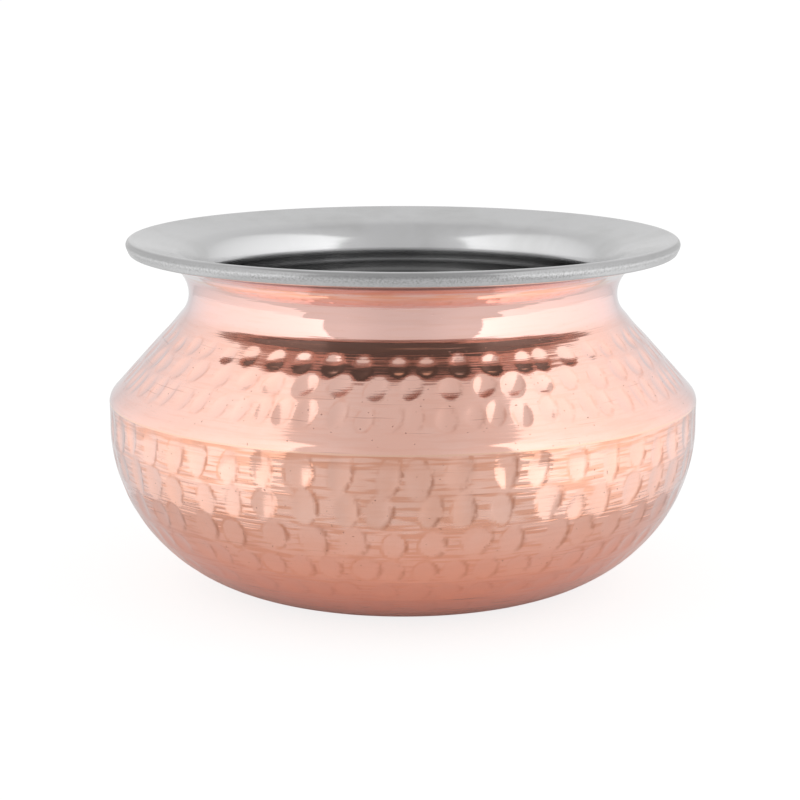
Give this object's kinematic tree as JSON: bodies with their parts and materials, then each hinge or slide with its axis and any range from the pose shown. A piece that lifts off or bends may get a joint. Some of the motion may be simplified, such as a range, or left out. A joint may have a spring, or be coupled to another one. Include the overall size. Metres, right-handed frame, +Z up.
{
  "type": "double-walled handi serving pot",
  "caption": "Hammered copper handi with a polished steel inner vessel, a waisted neck and a wide flared lip rolled over the copper's edge.",
  "frame": {"origin": "middle of the flat base that the pot stands on, on the pot's axis", "axes": "+Z up along the pot's axis; the pot is the same all round, so +X and +Y are any two horizontal directions"},
  "size_m": [0.15, 0.15, 0.0885],
  "materials": {
    "hammered_copper": "polished, hand-hammered",
    "brass_braze": "polished",
    "polished_steel": "polished",
    "drawn_steel_wire": "drawn"
  },
  "bodies": {
    "root": {"copper_bowl": "hammered_copper", "copper_shoulder": "hammered_copper", "seam_braze": "brass_braze", "steel_inner_vessel": "polished_steel", "rim_wire": "drawn_steel_wire"}
  },
  "joints": []
}
